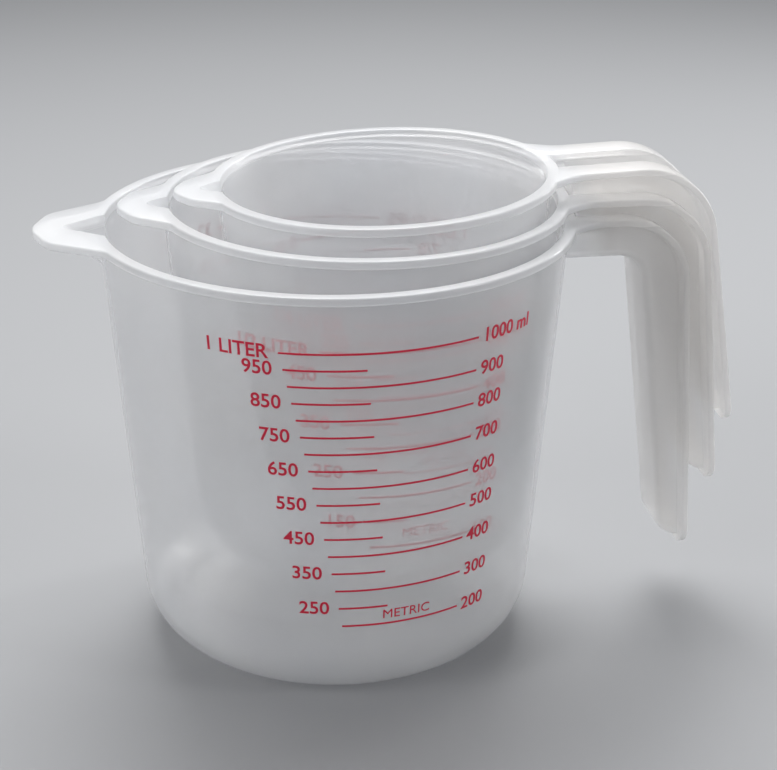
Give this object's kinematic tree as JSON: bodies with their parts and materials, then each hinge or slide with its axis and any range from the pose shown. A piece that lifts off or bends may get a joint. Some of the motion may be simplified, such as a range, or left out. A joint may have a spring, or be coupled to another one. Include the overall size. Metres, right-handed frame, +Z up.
{
  "type": "measuring cup set",
  "caption": "Nested measuring cups of milky plastic, each with a pouring beak, an open channel handle and printed metric and cup scales.",
  "frame": {"origin": "centre of the underside of the largest cup, which the set stands on", "axes": "+X from the cups' middle towards the handles (the beaks point to -X), -Y the side with the metric scales, +Z up"},
  "size_m": [0.1921, 0.129, 0.1329],
  "materials": {
    "milky_plastic": "translucent milky polypropylene, smooth, satin gloss",
    "print": "dark red screen print"
  },
  "bodies": {
    "cup_1000ml": {"vessel_1000ml": "milky_plastic", "handle_1000ml": "milky_plastic", "metric_scale_1000ml": "print", "cup_scale_1000ml": "print"},
    "cup_500ml": {"vessel_500ml": "milky_plastic", "handle_500ml": "milky_plastic", "metric_scale_500ml": "print", "cup_scale_500ml": "print"},
    "cup_250ml": {"vessel_250ml": "milky_plastic", "handle_250ml": "milky_plastic", "metric_scale_250ml": "print", "cup_scale_250ml": "print"}
  },
  "joints": [
    {"name": "middle_cup_lift", "type": "slide", "parent": "cup_1000ml", "child": "cup_500ml", "axis": [0, 0, 1], "range_m": [0, 0.1]},
    {"name": "small_cup_lift", "type": "slide", "parent": "cup_500ml", "child": "cup_250ml", "axis": [0, 0, 1], "range_m": [0, 0.09]}
  ]
}
